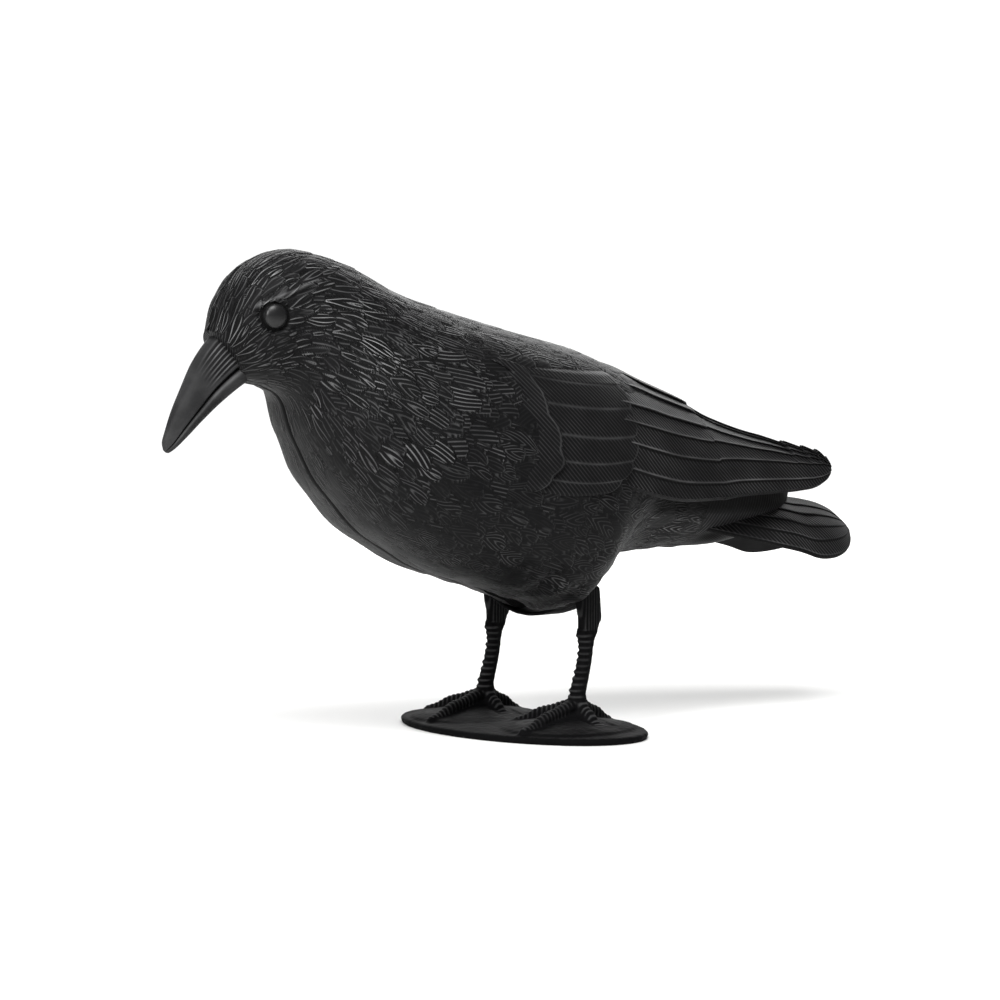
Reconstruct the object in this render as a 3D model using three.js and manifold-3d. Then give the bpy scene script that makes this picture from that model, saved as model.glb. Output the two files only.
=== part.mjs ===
// Crow decoy: a black moulded bird scarer. Two thin half-shells meet on the middle plane of the bird and
// sit on one moulding of two legs, their feet and an oval base.
// Millimetres. X runs from the beak (-X) to the tail (+X), the bird's left side is -Y, Z is up, and the
// origin is the centre of the base's underside.
import * as THREE from 'three';
import { mergeVertices } from 'three/addons/utils/BufferGeometryUtils.js';
import Module from 'manifold-3d';

// Bird. Its form is given further down in hundredths of its length.
const birdLength = 386;
const bellyHeight = 62;
const seatBack = -1.4;
const shellWall = 2;
const seamGap = 0.3;
const eyeRadius = 5.6;
const eyeBulge = 2.6;
const eyeRingRadius = 6.6;
const eyeRingWire = 1.1;
const covertStep = 2;
const featherStep = 1.1;
const tertialStep = 1.8;
const bladeWall = 2.2;
const bellySlotLength = 44;
const bellySlotWidth = 18;
const bellySlotBack = 2;
const thighNotchGap = 6;

// Stand
const baseLength = 152;
const baseWidth = 90;
const baseEdge = 3.4;
const baseCrown = 5.4;
const standTurn = 15;
const legSpacing = 65;
const legSetback = 6.6;
const ankleHeight = 16;
const shinLean = 6.4;
const tarsusWidth = 7.8;
const tarsusDepth = 7.4;
const ringCount = 7;
const ringRelief = 0.3;
const thighWidth = 14.6;
const thighDepth = 6.4;
const thighLength = 23;
const thighRise = 11;
const toeRadius = 3.6;
const toeRings = 3;
const toeSides = 6;
const yokeWall = 2;
const yokeWidth = 19;
const yokeLead = 3.2;
const yokeDrop = 2.2;
const fitClearance = 0.5;

const share = birdLength / 100;
const thighTop = bellyHeight + thighRise;
const thighFoot = thighTop - thighLength;
const yokeHeight = bellyHeight - yokeDrop;

const wasm = await Module();
wasm.setup();

// Turns a closed three.js geometry into a solid for cutting and joining.
function solid(geometry) {
  const bare = geometry.clone();
  bare.deleteAttribute('normal');
  bare.deleteAttribute('uv');
  const merged = mergeVertices(bare);
  return new wasm.Manifold(new wasm.Mesh({
    numProp: 3,
    vertProperties: new Float32Array(merged.attributes.position.array),
    triVerts: new Uint32Array(merged.index.array),
  }));
}

function geometryOf(body) {
  const mesh = body.getMesh();
  const geometry = new THREE.BufferGeometry();
  geometry.setAttribute('position', new THREE.BufferAttribute(mesh.vertProperties, 3));
  geometry.setIndex(new THREE.BufferAttribute(mesh.triVerts, 1));
  return geometry;
}

function volumeOf(positions, faces) {
  let sum = 0;
  const corner = [new THREE.Vector3(), new THREE.Vector3(), new THREE.Vector3()];
  for (let i = 0; i < faces.length; i += 3) {
    corner.forEach((c, k) => c.fromArray(positions, 3 * faces[i + k]));
    sum += corner[0].dot(corner[1].clone().cross(corner[2]));
  }
  return sum / 6;
}

// A closed skin through rings of equally many points, with a fan over each end.
function loft(rings) {
  const count = rings[0].length;
  const last = rings.length - 1;
  const positions = [];
  const faces = [];
  rings.forEach((ring) => ring.forEach((p) => positions.push(p.x, p.y, p.z)));
  for (let r = 0; r < last; r++) {
    for (let i = 0; i < count; i++) {
      const j = (i + 1) % count;
      const a = r * count + i;
      const b = r * count + j;
      faces.push(a, b, b + count, a, b + count, a + count);
    }
  }
  [0, last].forEach((r) => {
    const middle = new THREE.Vector3();
    rings[r].forEach((p) => middle.addScaledVector(p, 1 / count));
    const hub = positions.length / 3;
    positions.push(middle.x, middle.y, middle.z);
    for (let i = 0; i < count; i++) {
      const a = r * count + i;
      const b = r * count + (i + 1) % count;
      if (r === last) faces.push(hub, a, b);
      else faces.push(hub, b, a);
    }
  });
  if (volumeOf(positions, faces) < 0) faces.reverse();
  const geometry = new THREE.BufferGeometry();
  geometry.setAttribute('position', new THREE.Float32BufferAttribute(positions, 3));
  geometry.setIndex(faces);
  return geometry;
}

const mix = THREE.MathUtils.lerp;
const list = (count, make) => Array.from({ length: count }, (_, i) => make(i));
const power = (value, exponent) => Math.sign(value) * Math.abs(value) ** exponent;

// Values between the rows of a table: t runs from 0 at the first row to 1 at the last, smoothly.
function smoothRow(table, t) {
  const at = Math.min(t * (table.length - 1), table.length - 1 - 1e-9);
  const i = Math.floor(at);
  const f = at - i;
  return table[i].map((value, k) => {
    const next = table[i + 1][k];
    const before = i > 0 ? table[i - 1][k] : 2 * value - next;
    const after = i + 2 < table.length ? table[i + 2][k] : 2 * next - value;
    const bend = 2 * before - 5 * value + 4 * next - after + f * (3 * (value - next) + after - before);
    return value + 0.5 * f * (next - before + f * bend);
  });
}

// A place on the bird, in hundredths of its length: x from the middle of its seat, z from its belly's height.
function birdPoint(x, y, z) {
  return new THREE.Vector3(seatBack + x * share, y * share, bellyHeight + z * share);
}

// Body: each row is a slanted cut through head, neck and trunk: the upper and the lower end of the cut,
// x and height, its half width, how far down it is widest, and how square its lower half is.
const trunkCuts = [
  [-43.6, 35.2, -39.9, 29.4, 3.8, 0.50, 2.0],
  [-41.8, 39.8, -38.5, 28.9, 6.1, 0.50, 2.2],
  [-38.6, 43.5, -36.3, 28.5, 7.5, 0.49, 2.4],
  [-33.3, 45.3, -33.3, 27.3, 8.0, 0.50, 2.6],
  [-25.9, 43.7, -32.2, 21.7, 10.1, 0.55, 2.8],
  [-18.7, 40.3, -28.8, 16.1, 12.7, 0.60, 2.9],
  [-10.9, 38.0, -23.2, 10.2, 14.8, 0.61, 2.9],
  [-2.1, 35.8, -15.1, 5.5, 15.9, 0.62, 2.9],
  [5.7, 34.0, -5.2, 2.3, 16.1, 0.62, 2.8],
  [11.4, 32.0, 2.6, -0.5, 15.0, 0.60, 2.4],
  [15.5, 30.2, 5.9, 1.0, 13.0, 0.57, 2.1],
  [20.2, 27.9, 11.1, 5.9, 10.9, 0.53, 2.0],
  [26.4, 24.3, 20.2, 7.1, 8.5, 0.50, 2.0],
  [33.7, 21.3, 30.1, 7.4, 6.7, 0.50, 2.0],
  [39.4, 18.1, 37.8, 9.3, 4.7, 0.50, 2.0],
  [43.0, 16.7, 42.2, 11.6, 1.4, 0.50, 2.0],
];
const upperSquareness = 2;

function trunkCut(t) {
  const [topX, topZ, lowX, lowZ, half, widest, square] = smoothRow(trunkCuts, t);
  return { top: birdPoint(topX, 0, topZ), low: birdPoint(lowX, 0, lowZ), half: half * share, widest, square };
}

function trunkRing(t, points, inset) {
  const { top, low, half, widest, square } = trunkCut(t);
  const inward = low.clone().sub(top).setLength(inset);
  top.add(inward);
  low.sub(inward);
  return list(points, (i) => {
    const angle = 2 * Math.PI * i / points;
    const n = Math.cos(angle) > 0 ? upperSquareness : square;
    const u = power(Math.cos(angle), 2 / n);
    const depth = u > 0 ? widest * (1 - u) : widest - (1 - widest) * u;
    return top.clone().lerp(low, depth).setY((half - inset) * power(Math.sin(angle), 2 / n));
  });
}

// The skin, and the hollow inside it, share their cuts, so that the wall between them stays even.
const cutCount = 31;
const trunkPoints = 22;
const hollowCuts = { first: 2, last: 25 };
const hollowPoints = 12;

function trunk(first, last, points, inset) {
  return loft(list(last - first + 1, (i) => trunkRing((first + i) / (cutCount - 1), points, inset)));
}

// Half width of the trunk beside a place on the middle plane: first the cut that holds the place is found
// by halving, then its outline gives the width.
function trunkHalfWidth(x, z) {
  let from = 0;
  let to = 1;
  for (let i = 0; i < 30; i++) {
    const { top, low } = trunkCut((from + to) / 2);
    const behind = (low.x - top.x) * (z - top.z) - (low.z - top.z) * (x - top.x) > 0;
    if (behind) from = (from + to) / 2;
    else to = (from + to) / 2;
  }
  const { top, low, half, widest, square } = trunkCut(from);
  const line = low.clone().sub(top);
  const depth = new THREE.Vector3(x, 0, z).sub(top).dot(line) / line.lengthSq();
  const above = depth < widest;
  const u = above ? 1 - depth / widest : (depth - widest) / (1 - widest);
  const n = above ? upperSquareness : square;
  return half * Math.max(0, 1 - Math.min(u, 1) ** n) ** (1 / n);
}

// Beak: cuts as on the trunk, and the outline of its left half from the ridge to the chin, with the
// groove between the mandibles.
const beakCuts = [
  [-41.5, 35.8, -37.8, 29.5, 3.4],
  [-43.5, 34.2, -39.8, 28.2, 3.1],
  [-45.5, 31.5, -42.2, 26.3, 2.5],
  [-47.0, 28.4, -44.4, 24.3, 2.0],
  [-48.3, 25.5, -46.2, 22.5, 1.4],
  [-49.2, 22.9, -47.7, 21.1, 0.9],
  [-49.5, 21.8, -48.6, 20.5, 0.6],
  [-49.4, 20.9, -49.0, 20.5, 0.2],
];
const beakOutline = [
  [0, 0], [0.03, 0.3], [0.12, 0.6], [0.3, 0.86], [0.5, 0.99], [0.6, 1], [0.64, 0.82], [0.68, 0.88],
  [0.82, 0.78], [0.95, 0.45], [1, 0],
];

function beak() {
  const otherSide = beakOutline.slice(1, -1).reverse().map(([depth, side]) => [depth, -side]);
  const outline = [...beakOutline, ...otherSide];
  const cuts = 10;
  return loft(list(cuts, (i) => {
    const [topX, topZ, lowX, lowZ, half] = smoothRow(beakCuts, i / (cuts - 1));
    const top = birdPoint(topX, 0, topZ);
    const low = birdPoint(lowX, 0, lowZ);
    return outline.map(([depth, side]) => top.clone().lerp(low, depth).setY(side * half * share));
  }));
}

// Eye: a dome in a low ring on the side of the head.
const eyePlace = { x: -37.2, z: 36.8 };

function eyeParts(side) {
  const centre = birdPoint(eyePlace.x, 0, eyePlace.z);
  const skin = side * trunkHalfWidth(centre.x, centre.z);
  const dome = new THREE.SphereGeometry(eyeRadius, 10, 6);
  dome.scale(1, eyeBulge / eyeRadius, 1);
  dome.translate(centre.x, skin, centre.z);
  const ring = new THREE.TorusGeometry(eyeRingRadius, eyeRingWire, 4, 12);
  ring.rotateX(Math.PI / 2);
  ring.translate(centre.x, skin, centre.z);
  return [dome, ring];
}

// Wing coverts: wedges that lie flush on the flank in front and stand proud at their rear edge, which is
// scalloped, one scallop to a feather. Each line runs from the back down to the flank.
const shoulderLine = [[-19.4, 35.8], [-20.7, 30.6], [-21.2, 25.4], [-20.2, 20.2], [-18.1, 15.5]];
const lesserEdge = [
  [-9.3, 32.4], [-5.7, 30.1], [-4.7, 26.7], [-3.6, 22.8], [-3.4, 19.4], [-5.2, 17.1], [-7.8, 15.3],
];
const greaterEdge = [
  [7.3, 31.1], [9.3, 28.8], [10.0, 25.9], [9.6, 22.3], [8.3, 19.2], [6.0, 16.8], [2.6, 14.8],
];
const scallopDepth = 0.6;
const covertSteps = 2;
const pointsPerCovert = 2;

function covertRow(front, rear, feathers, side) {
  const count = feathers * pointsPerCovert;
  return loft(list(covertSteps + 1, (i) => {
    const back = i / covertSteps;
    const outer = [];
    const inner = [];
    for (let j = 0; j <= count; j++) {
      const down = j / count;
      const scallop = scallopDepth * Math.abs(Math.sin(Math.PI * feathers * down));
      const [frontX, frontZ] = smoothRow(front, down);
      const [rearX, rearZ] = smoothRow(rear, down);
      const p = birdPoint(mix(frontX, rearX + scallop, back), 0, mix(frontZ, rearZ, back));
      const skin = trunkHalfWidth(p.x, p.z);
      const end = Math.min(1, 0.5 * count * Math.min(down, 1 - down));
      const proud = mix(-1.2, covertStep * end, back);
      outer.push(p.clone().setY(side * (skin + proud)));
      inner.unshift(p.clone().setY(side * (skin - 2 * shellWall)));
    }
    return [...outer, ...inner];
  }));
}

// Folded wing behind the coverts: x, half width and height of its upper edge and of its lower edge, and
// how far it bulges between them.
const wingCuts = [
  [2.0, 1.2, 33.2, 14.2, 16.6, 3.2],
  [7.3, 1.6, 32.7, 14.8, 15.3, 4.1],
  [13.0, 1.0, 31.4, 13.9, 13.9, 3.9],
  [18.1, 0.5, 29.5, 12.7, 13.3, 3.4],
  [24.4, 0.5, 27.1, 11.4, 13.5, 2.7],
  [25.4, 0.5, 26.6, 11.3, 13.5, 2.6],
  [28.5, 0.8, 25.0, 10.5, 13.9, 2.2],
  [33.7, 1.6, 23.1, 9.6, 14.2, 1.8],
  [38.9, 2.8, 21.8, 8.5, 14.5, 1.4],
  [42.7, 3.9, 20.9, 7.6, 14.9, 1.0],
  [45.1, 4.9, 20.1, 6.7, 15.7, 0.6],
  [46.6, 5.7, 18.4, 6.0, 17.1, 0.3],
];
// Lower edges of the long feathers, as shares of the way down the wing, at its root, middle and tip.
const featherEdges = [
  [[0.15], [0.07], [0.04]],
  [[0.32], [0.18], [0.10]],
  [[0.51], [0.35], [0.18]],
  [[0.63], [0.50], [0.28]],
  [[0.75], [0.67], [0.42]],
  [[0.88], [0.86], [0.78]],
  [[1], [1], [1]],
];
// The uppermost feathers of the wing, the tertials, end at this row and lie over the rest.
const tertialCount = 3;
const tertialEnd = 5;
// Over the first rows the feathers rise out of the coverts.
const wingRoot = 2;

// Points down a curved cut: its two ends, its bulge, and a lift off its skin.
function bladeCurve(top, low, bulge) {
  const chord = low.clone().sub(top);
  const out = new THREE.Vector3(0, -chord.z, chord.y).normalize();
  return (down, lift) => top.clone().addScaledVector(chord, down)
    .addScaledVector(out, bulge * share * Math.sin(Math.PI * down) + lift);
}

const onSide = (ring, side) => ring.map((p) => p.setY(side * Math.max(p.y, 0)));

function wingRing(row, side) {
  const [x, topY, topZ, lowY, lowZ, bulge] = wingCuts[row];
  const at = bladeCurve(birdPoint(x, topY, topZ), birdPoint(x, lowY, lowZ), bulge);
  const ring = [];
  const grown = Math.min(1, row / wingRoot);
  let start = 0;
  featherEdges.forEach((edge, i) => {
    const [end] = smoothRow(edge, row / (wingCuts.length - 1));
    const over = i < tertialCount && row < tertialEnd ? tertialStep * (1 - i / tertialCount) : 0;
    ring.push(at(start + 0.004, over * grown), at(end, (over + featherStep) * grown));
    start = end;
  });
  [1, 0.85, 0.6, 0.35, 0.12].forEach((down) => ring.push(at(down, -bladeWall)));
  return onSide(ring, side);
}

const wing = (side) => loft(wingCuts.map((cut, row) => wingRing(row, side)));

// Tail: x, height of the ridge, half width and height of the edge, and the bulge between them.
const tailCuts = [
  [25.9, 15.3, 3.4, 10.4, 0.5],
  [30.6, 15.0, 6.2, 8.9, 0.9],
  [35.0, 14.8, 8.0, 7.8, 1.0],
  [39.4, 14.2, 8.8, 6.8, 1.2],
  [42.7, 13.7, 8.9, 5.8, 1.2],
  [45.6, 13.3, 8.5, 5.8, 1.2],
  [48.4, 12.7, 7.2, 6.4, 0.9],
  [50.9, 11.7, 5.0, 7.4, 0.5],
  [52.9, 10.3, 2.1, 8.8, 0.1],
];

function tail(side) {
  const downs = [0, 0.25, 0.5, 0.75, 1];
  return loft(tailCuts.map(([x, ridge, edgeY, edgeZ, bulge]) => {
    const at = bladeCurve(birdPoint(x, 0, ridge), birdPoint(x, edgeY, edgeZ), bulge);
    const outer = downs.map((down) => at(down, 0));
    const inner = downs.map((down) => at(down, -bladeWall)).reverse();
    return onSide([...outer, ...inner], side);
  }));
}

// Stand. Its own axes: across is towards the right foot, ahead is towards the toes.
const turn = THREE.MathUtils.degToRad(standTurn);
const across = new THREE.Vector3(-Math.sin(turn), Math.cos(turn), 0);
const ahead = new THREE.Vector3(-Math.cos(turn), -Math.sin(turn), 0);

function standPoint(a, b, z) {
  return new THREE.Vector3().addScaledVector(across, a).addScaledVector(ahead, b).setZ(z);
}

function base() {
  const r = baseLength / 2;
  const round = baseEdge * 0.35;
  const profile = [
    [0, 0], [r - round, 0], [r, round], [r, baseEdge - round], [r - round, baseEdge], [0, baseCrown],
  ].map(([x, y]) => new THREE.Vector2(x, y));
  const plate = new THREE.LatheGeometry(profile, 36);
  plate.rotateX(Math.PI / 2);
  plate.scale(1, baseWidth / baseLength, 1);
  plate.rotateZ(turn + Math.PI / 2);
  return plate;
}

// Leg, from the base up: height, how far it leans back from the ankle, half depth fore and aft, half width
// across, and how square its corners are. The shin carries the rings, the thigh is a flat upright blade.
function legRows() {
  const shinFoot = ankleHeight * 1.25;
  const pitch = (thighFoot - shinFoot) / ringCount;
  const shin = tarsusWidth / 2;
  const width = tarsusDepth / 2;
  const round = 2.3;
  const ankle = (z, swell) => [z, 0, shin * swell, width * swell, round];
  const rows = [ankle(baseCrown, 1.5), ankle(ankleHeight * 0.88, 1.4), ankle(ankleHeight * 1.19, 1.2)];
  for (let i = 0; i < ringCount; i++) {
    const up = i / (ringCount - 1);
    const lean = -shinLean * mix(0.06, 1, Math.sin(up * Math.PI / 2));
    const depth = shin * (1 + 0.28 * (1 - up) ** 2);
    rows.push([shinFoot + pitch * (i + 0.1), lean, depth - ringRelief, width - ringRelief, round]);
    rows.push([shinFoot + pitch * (i + 0.6), lean, depth + ringRelief, width + ringRelief, round]);
  }
  const square = 4;
  const thigh = (up, lean, broad) => [mix(thighFoot, thighTop, up), -shinLean - thighWidth * lean,
    thighWidth * broad, thighDepth / 2, square];
  return [...rows, thigh(0, 0.04, 0.34), thigh(0.12, 0.11, 0.4), thigh(0.3, 0.18, 0.5), thigh(0.6, 0.1, 0.52),
    thigh(1, 0.03, 0.56)];
}

function leg(side, rows, grow) {
  const corners = 8;
  return loft(rows.map(([z, lean, depth, width, square]) => list(corners, (i) => {
    const angle = 2 * Math.PI * (i + 0.5) / corners;
    const a = side * legSpacing / 2 + (width + grow) * power(Math.sin(angle), 2 / square);
    return standPoint(a, lean - legSetback + (depth + grow) * power(Math.cos(angle), 2 / square), z);
  })));
}

// Toes of each foot: heading, in degrees from straight ahead towards the right foot, and length.
const toes = [[-80, 18], [-3, 43], [68, 35], [178, 25]];

function toe(side, heading, length) {
  const course = THREE.MathUtils.degToRad(heading);
  const route = new THREE.CatmullRomCurve3([[0, 0.9], [0.25, 0.67], [0.6, 0.38], [0.86, 0.11], [1, -0.08]]
    .map(([far, high]) => {
      const reach = far * length;
      return standPoint(side * legSpacing / 2 + reach * Math.sin(course), reach * Math.cos(course) - legSetback,
        mix(baseCrown, ankleHeight, high));
    }));
  const level = across.clone().multiplyScalar(Math.cos(course)).addScaledVector(ahead, -Math.sin(course));
  const steps = toeRings * 2;
  return loft(list(steps + 1, (i) => {
    const t = i / steps;
    const up = level.clone().cross(route.getTangent(t)).normalize();
    const taper = mix(1.12, 0.62, t) * (i === steps ? 0.6 : 1);
    const radius = toeRadius * taper + (i % 2 ? ringRelief : -ringRelief);
    return list(toeSides, (k) => {
      const angle = 2 * Math.PI * k / toeSides;
      return route.getPoint(t).addScaledVector(level, radius * Math.cos(angle))
        .addScaledVector(up, radius * Math.sin(angle));
    });
  }));
}

// Ground between the toes of one foot: rings that climb from near the toe tips to the ankle, drawn in between
// one toe and the next.
function footMound(side) {
  const inBetween = 2;
  const levels = [[0.92, -0.2], [0.66, 0.1], [0.35, 0.48], [0.1, 0.76]];
  return loft(levels.map(([far, high]) => toes.flatMap(([heading, length], i) => {
    const [nextHeading, nextLength] = toes[(i + 1) % toes.length];
    const gap = (nextHeading - heading + 360) % 360;
    return list(inBetween, (j) => {
      const f = j / inBetween;
      const sag = 1 - Math.sin(Math.PI * f) * gap / 180;
      const reach = far * mix(length, nextLength, f) * sag + toeRadius / 2;
      const course = THREE.MathUtils.degToRad(heading + f * gap);
      return standPoint(side * legSpacing / 2 + reach * Math.sin(course), reach * Math.cos(course) - legSetback,
        mix(baseCrown, ankleHeight, high));
    });
  })));
}

// Yoke: a band bent to a shallow U between the thighs, seen along its width.
function yoke(grow) {
  const reach = legSpacing / 2;
  const line = new THREE.CatmullRomCurve3([
    [-1, thighTop - 0.27 * thighRise], [-0.8, thighTop - 0.6 * thighRise], [-0.5, yokeHeight + yokeWall / 2],
    [0, yokeHeight - yokeWall], [0.5, yokeHeight + yokeWall / 2], [0.8, thighTop - 0.6 * thighRise],
    [1, thighTop - 0.27 * thighRise],
  ].map(([a, z]) => new THREE.Vector3(a * reach, z, 0)));
  const half = yokeWall / 2 + grow;
  const front = grow - legSetback + yokeLead;
  const rear = front - yokeWidth - 2 * grow;
  const steps = 12;
  return loft(list(steps + 1, (i) => {
    const p = line.getPoint(i / steps);
    const { x, y } = line.getTangent(i / steps);
    return [[half, front], [half, rear], [-half, rear], [-half, front]]
      .map(([out, b]) => standPoint(p.x - y * out, b, p.y + x * out));
  }));
}

function standSolid() {
  const rows = legRows();
  let body = solid(base()).add(solid(yoke(0)));
  [-1, 1].forEach((side) => {
    body = body.add(solid(leg(side, rows, 0))).add(solid(footMound(side)));
    toes.forEach(([heading, length]) => {
      body = body.add(solid(toe(side, heading, length)));
    });
  });
  return body;
}

// The opening in the bird's underside around one thigh, wider than the thigh.
function thighNotch(side) {
  const notch = new THREE.CylinderGeometry(1, 1, 2 * thighRise, 16);
  notch.rotateX(Math.PI / 2);
  notch.scale(thighWidth / 2 + thighNotchGap, thighDepth / 2 + thighNotchGap, 1);
  notch.rotateZ(turn);
  const { x, y } = standPoint(side * legSpacing / 2, -legSetback - shinLean, 0);
  notch.translate(x, y, bellyHeight);
  return notch;
}

// Room in the bird's underside for the thighs and the yoke, and the slot that shows dark ahead of them.
function standRoom() {
  const thigh = legRows().slice(-5);
  const [height, ...section] = thigh[thigh.length - 1];
  const raised = [...thigh, [height + fitClearance, ...section]];
  let room = solid(yoke(fitClearance));
  [-1, 1].forEach((side) => {
    room = room.add(solid(leg(side, raised, fitClearance))).add(solid(thighNotch(side)));
  });
  const slot = new THREE.CylinderGeometry(1, 1, 4 * thighRise, 20);
  slot.rotateX(Math.PI / 2);
  slot.scale(bellySlotLength / 2, bellySlotWidth / 2, 1);
  slot.translate(seatBack + bellySlotBack, 0, yokeHeight);
  return room.add(solid(slot));
}

function birdSolid() {
  let body = solid(trunk(0, cutCount - 1, trunkPoints, 0)).add(solid(beak()));
  [-1, 1].forEach((side) => {
    const parts = [wing(side), tail(side), ...eyeParts(side), covertRow(shoulderLine, lesserEdge, 5, side),
      covertRow(lesserEdge, greaterEdge, 6, side)];
    parts.forEach((part) => {
      body = body.add(solid(part));
    });
  });
  const hollow = trunk(hollowCuts.first, hollowCuts.last, hollowPoints, shellWall);
  return body.subtract(solid(hollow)).subtract(standRoom());
}

// Everything on one side of the middle plane, half the seam's gap away from it.
function halfSpace(side) {
  const size = 4 * birdLength;
  const box = new THREE.BoxGeometry(size, size, size);
  box.translate(0, side * (size / 2 + seamGap / 2), 0);
  return solid(box);
}

const blackPlastic = () => new THREE.MeshStandardMaterial({ color: 0x1b1b1c, roughness: 0.55, metalness: 0 });

const crow = new THREE.Group();
function addPiece(name, body) {
  const piece = new THREE.Mesh(geometryOf(body), blackPlastic());
  piece.name = name;
  crow.add(piece);
}

const bird = birdSolid();
addPiece('left_half', bird.intersect(halfSpace(-1)));
addPiece('right_half', bird.intersect(halfSpace(1)));
addPiece('stand', standSolid());

export default crow;
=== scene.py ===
import math

import bmesh
import bpy
import numpy as np
from mathutils import Matrix, Vector


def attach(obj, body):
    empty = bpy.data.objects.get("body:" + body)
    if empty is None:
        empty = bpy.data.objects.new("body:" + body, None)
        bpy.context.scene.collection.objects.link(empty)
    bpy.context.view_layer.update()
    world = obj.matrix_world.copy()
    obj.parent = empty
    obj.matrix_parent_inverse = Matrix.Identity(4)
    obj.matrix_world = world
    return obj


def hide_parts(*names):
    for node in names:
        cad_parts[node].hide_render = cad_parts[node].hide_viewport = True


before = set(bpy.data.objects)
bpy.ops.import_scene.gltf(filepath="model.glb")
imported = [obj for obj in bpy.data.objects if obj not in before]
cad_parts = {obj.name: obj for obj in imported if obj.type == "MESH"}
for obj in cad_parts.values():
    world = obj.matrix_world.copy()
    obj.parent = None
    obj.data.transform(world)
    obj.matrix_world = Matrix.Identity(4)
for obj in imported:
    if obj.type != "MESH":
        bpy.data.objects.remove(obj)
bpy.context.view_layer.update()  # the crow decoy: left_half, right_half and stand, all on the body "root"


# The camera stands at the photograph's place, to the left of the beak and a little above the seat, and
# looks slightly down. Its frame is square.
camera_at = (-0.5882, -0.9972, 0.160)
camera_aim = (-0.0132, -0.0013, 0.116)
lens_mm, sensor_mm = 82.8, 36

camera_data = bpy.data.cameras.new("camera")
camera_data.lens = lens_mm
camera_data.sensor_width = sensor_mm
camera_data.clip_end = 20
camera = bpy.data.objects.new("camera", camera_data)
camera.location = camera_at
camera.rotation_euler = (Vector(camera_aim) - Vector(camera_at)).to_track_quat("-Z", "Y").to_euler()
bpy.context.collection.objects.link(camera)
bpy.context.scene.camera = camera


# Studio: a white floor, a lit white panel far behind the bird, a broad soft light over it, a weaker one
# before it and a low one on its far side. The rest of the room is a dim grey.
floor_span = 9
sky_strength = 0.20
panel_brightness = 1.1
panel_distance, panel_width, panel_height = 3.4, 4.4, 3.2
panel_turn = math.radians(-30)
soft_boxes = [
    # name, where it stands, what it faces, width and height in metres, power in watts
    ("high_box", (-0.35, -0.65, 1.25), (0.0, 0.0, 0.12), 0.8, 0.6, 17),
    ("front_box", (-1.45, -0.75, 0.9), (0.0, 0.0, 0.12), 0.4, 0.4, 16),
    ("far_box", (0.8, 1.3, 0.9), (0.0, 0.0, 0.12), 1.2, 1.0, 6),
    ("floor_box", (1.1, 1.9, 1.5), (1.1, 1.9, 0.0), 3.0, 2.0, 60),
]


def linear(hexcode):
    channels = [int(hexcode[k:k + 2], 16) / 255 for k in (1, 3, 5)]
    return tuple(c / 12.92 if c <= 0.04045 else ((c + 0.055) / 1.055) ** 2.4 for c in channels) + (1,)


def add_node(tree, kind, links=None, **settings):
    """Adds a node: links maps its inputs to sockets or values, settings are its own properties."""
    node = tree.nodes.new(kind)
    for name, value in settings.items():
        setattr(node, name, value)
    for name, value in (links or {}).items():
        if isinstance(value, bpy.types.NodeSocket):
            tree.links.new(value, node.inputs[name])
        else:
            node.inputs[name].default_value = value
    return node


def new_material(name):
    material = bpy.data.materials.new(name)
    material.use_nodes = True
    material.node_tree.nodes.clear()
    return material, material.node_tree


def add_object(name, bm):
    """Makes the mesh of an object from a bmesh, and puts the object in the scene."""
    mesh = bpy.data.meshes.new(name)
    bm.to_mesh(mesh)
    bm.free()
    made = bpy.data.objects.new(name, mesh)
    bpy.context.collection.objects.link(made)
    return made


# White painted studio floor, matt.
floor_paint, tree = new_material("white_studio_paint")
floor_coat = add_node(tree, "ShaderNodeBsdfPrincipled", {
    "Base Color": linear("#f6f6f5"), "Roughness": 0.9, "Specular IOR Level": 0.1})
add_node(tree, "ShaderNodeOutputMaterial", {"Surface": floor_coat.outputs[0]})

bm = bmesh.new()
bmesh.ops.create_grid(bm, x_segments=4, y_segments=4, size=floor_span / 2)
studio_floor = add_object("studio_floor", bm)
studio_floor.data.materials.append(floor_paint)

# Opal acrylic, lit from behind.
opal, tree = new_material("lit_opal_panel")
glow = add_node(tree, "ShaderNodeEmission", {"Color": (1, 1, 1, 1), "Strength": panel_brightness})
add_node(tree, "ShaderNodeOutputMaterial", {"Surface": glow.outputs[0]})

bm = bmesh.new()
bmesh.ops.create_grid(bm, x_segments=2, y_segments=2, size=0.5)
bmesh.ops.scale(bm, verts=bm.verts, vec=(panel_width, panel_height, 1))
bmesh.ops.rotate(bm, verts=bm.verts, cent=(0, 0, 0), matrix=Matrix.Rotation(math.pi / 2, 3, "X"))
bmesh.ops.translate(bm, verts=bm.verts, vec=(0, panel_distance, 0.45 * panel_height))
bmesh.ops.rotate(bm, verts=bm.verts, cent=(0, 0, 0), matrix=Matrix.Rotation(panel_turn, 3, "Z"))
studio_panel = add_object("studio_panel", bm)
studio_panel.data.materials.append(opal)

sky = bpy.data.worlds.new("dim_room")
sky.use_nodes = True
sky.node_tree.nodes["Background"].inputs["Color"].default_value = (1, 1, 1, 1)
sky.node_tree.nodes["Background"].inputs["Strength"].default_value = sky_strength
bpy.context.scene.world = sky
bpy.context.scene.view_settings.view_transform = "Standard"

for name, place, aim, width, height, power in soft_boxes:
    light_data = bpy.data.lights.new(name, "AREA")
    light_data.shape = "RECTANGLE"
    light_data.size = width
    light_data.size_y = height
    light_data.energy = power
    light = bpy.data.objects.new(name, light_data)
    light.location = place
    light.rotation_euler = (Vector(aim) - Vector(place)).to_track_quat("-Z", "Y").to_euler()
    bpy.context.collection.objects.link(light)


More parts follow.
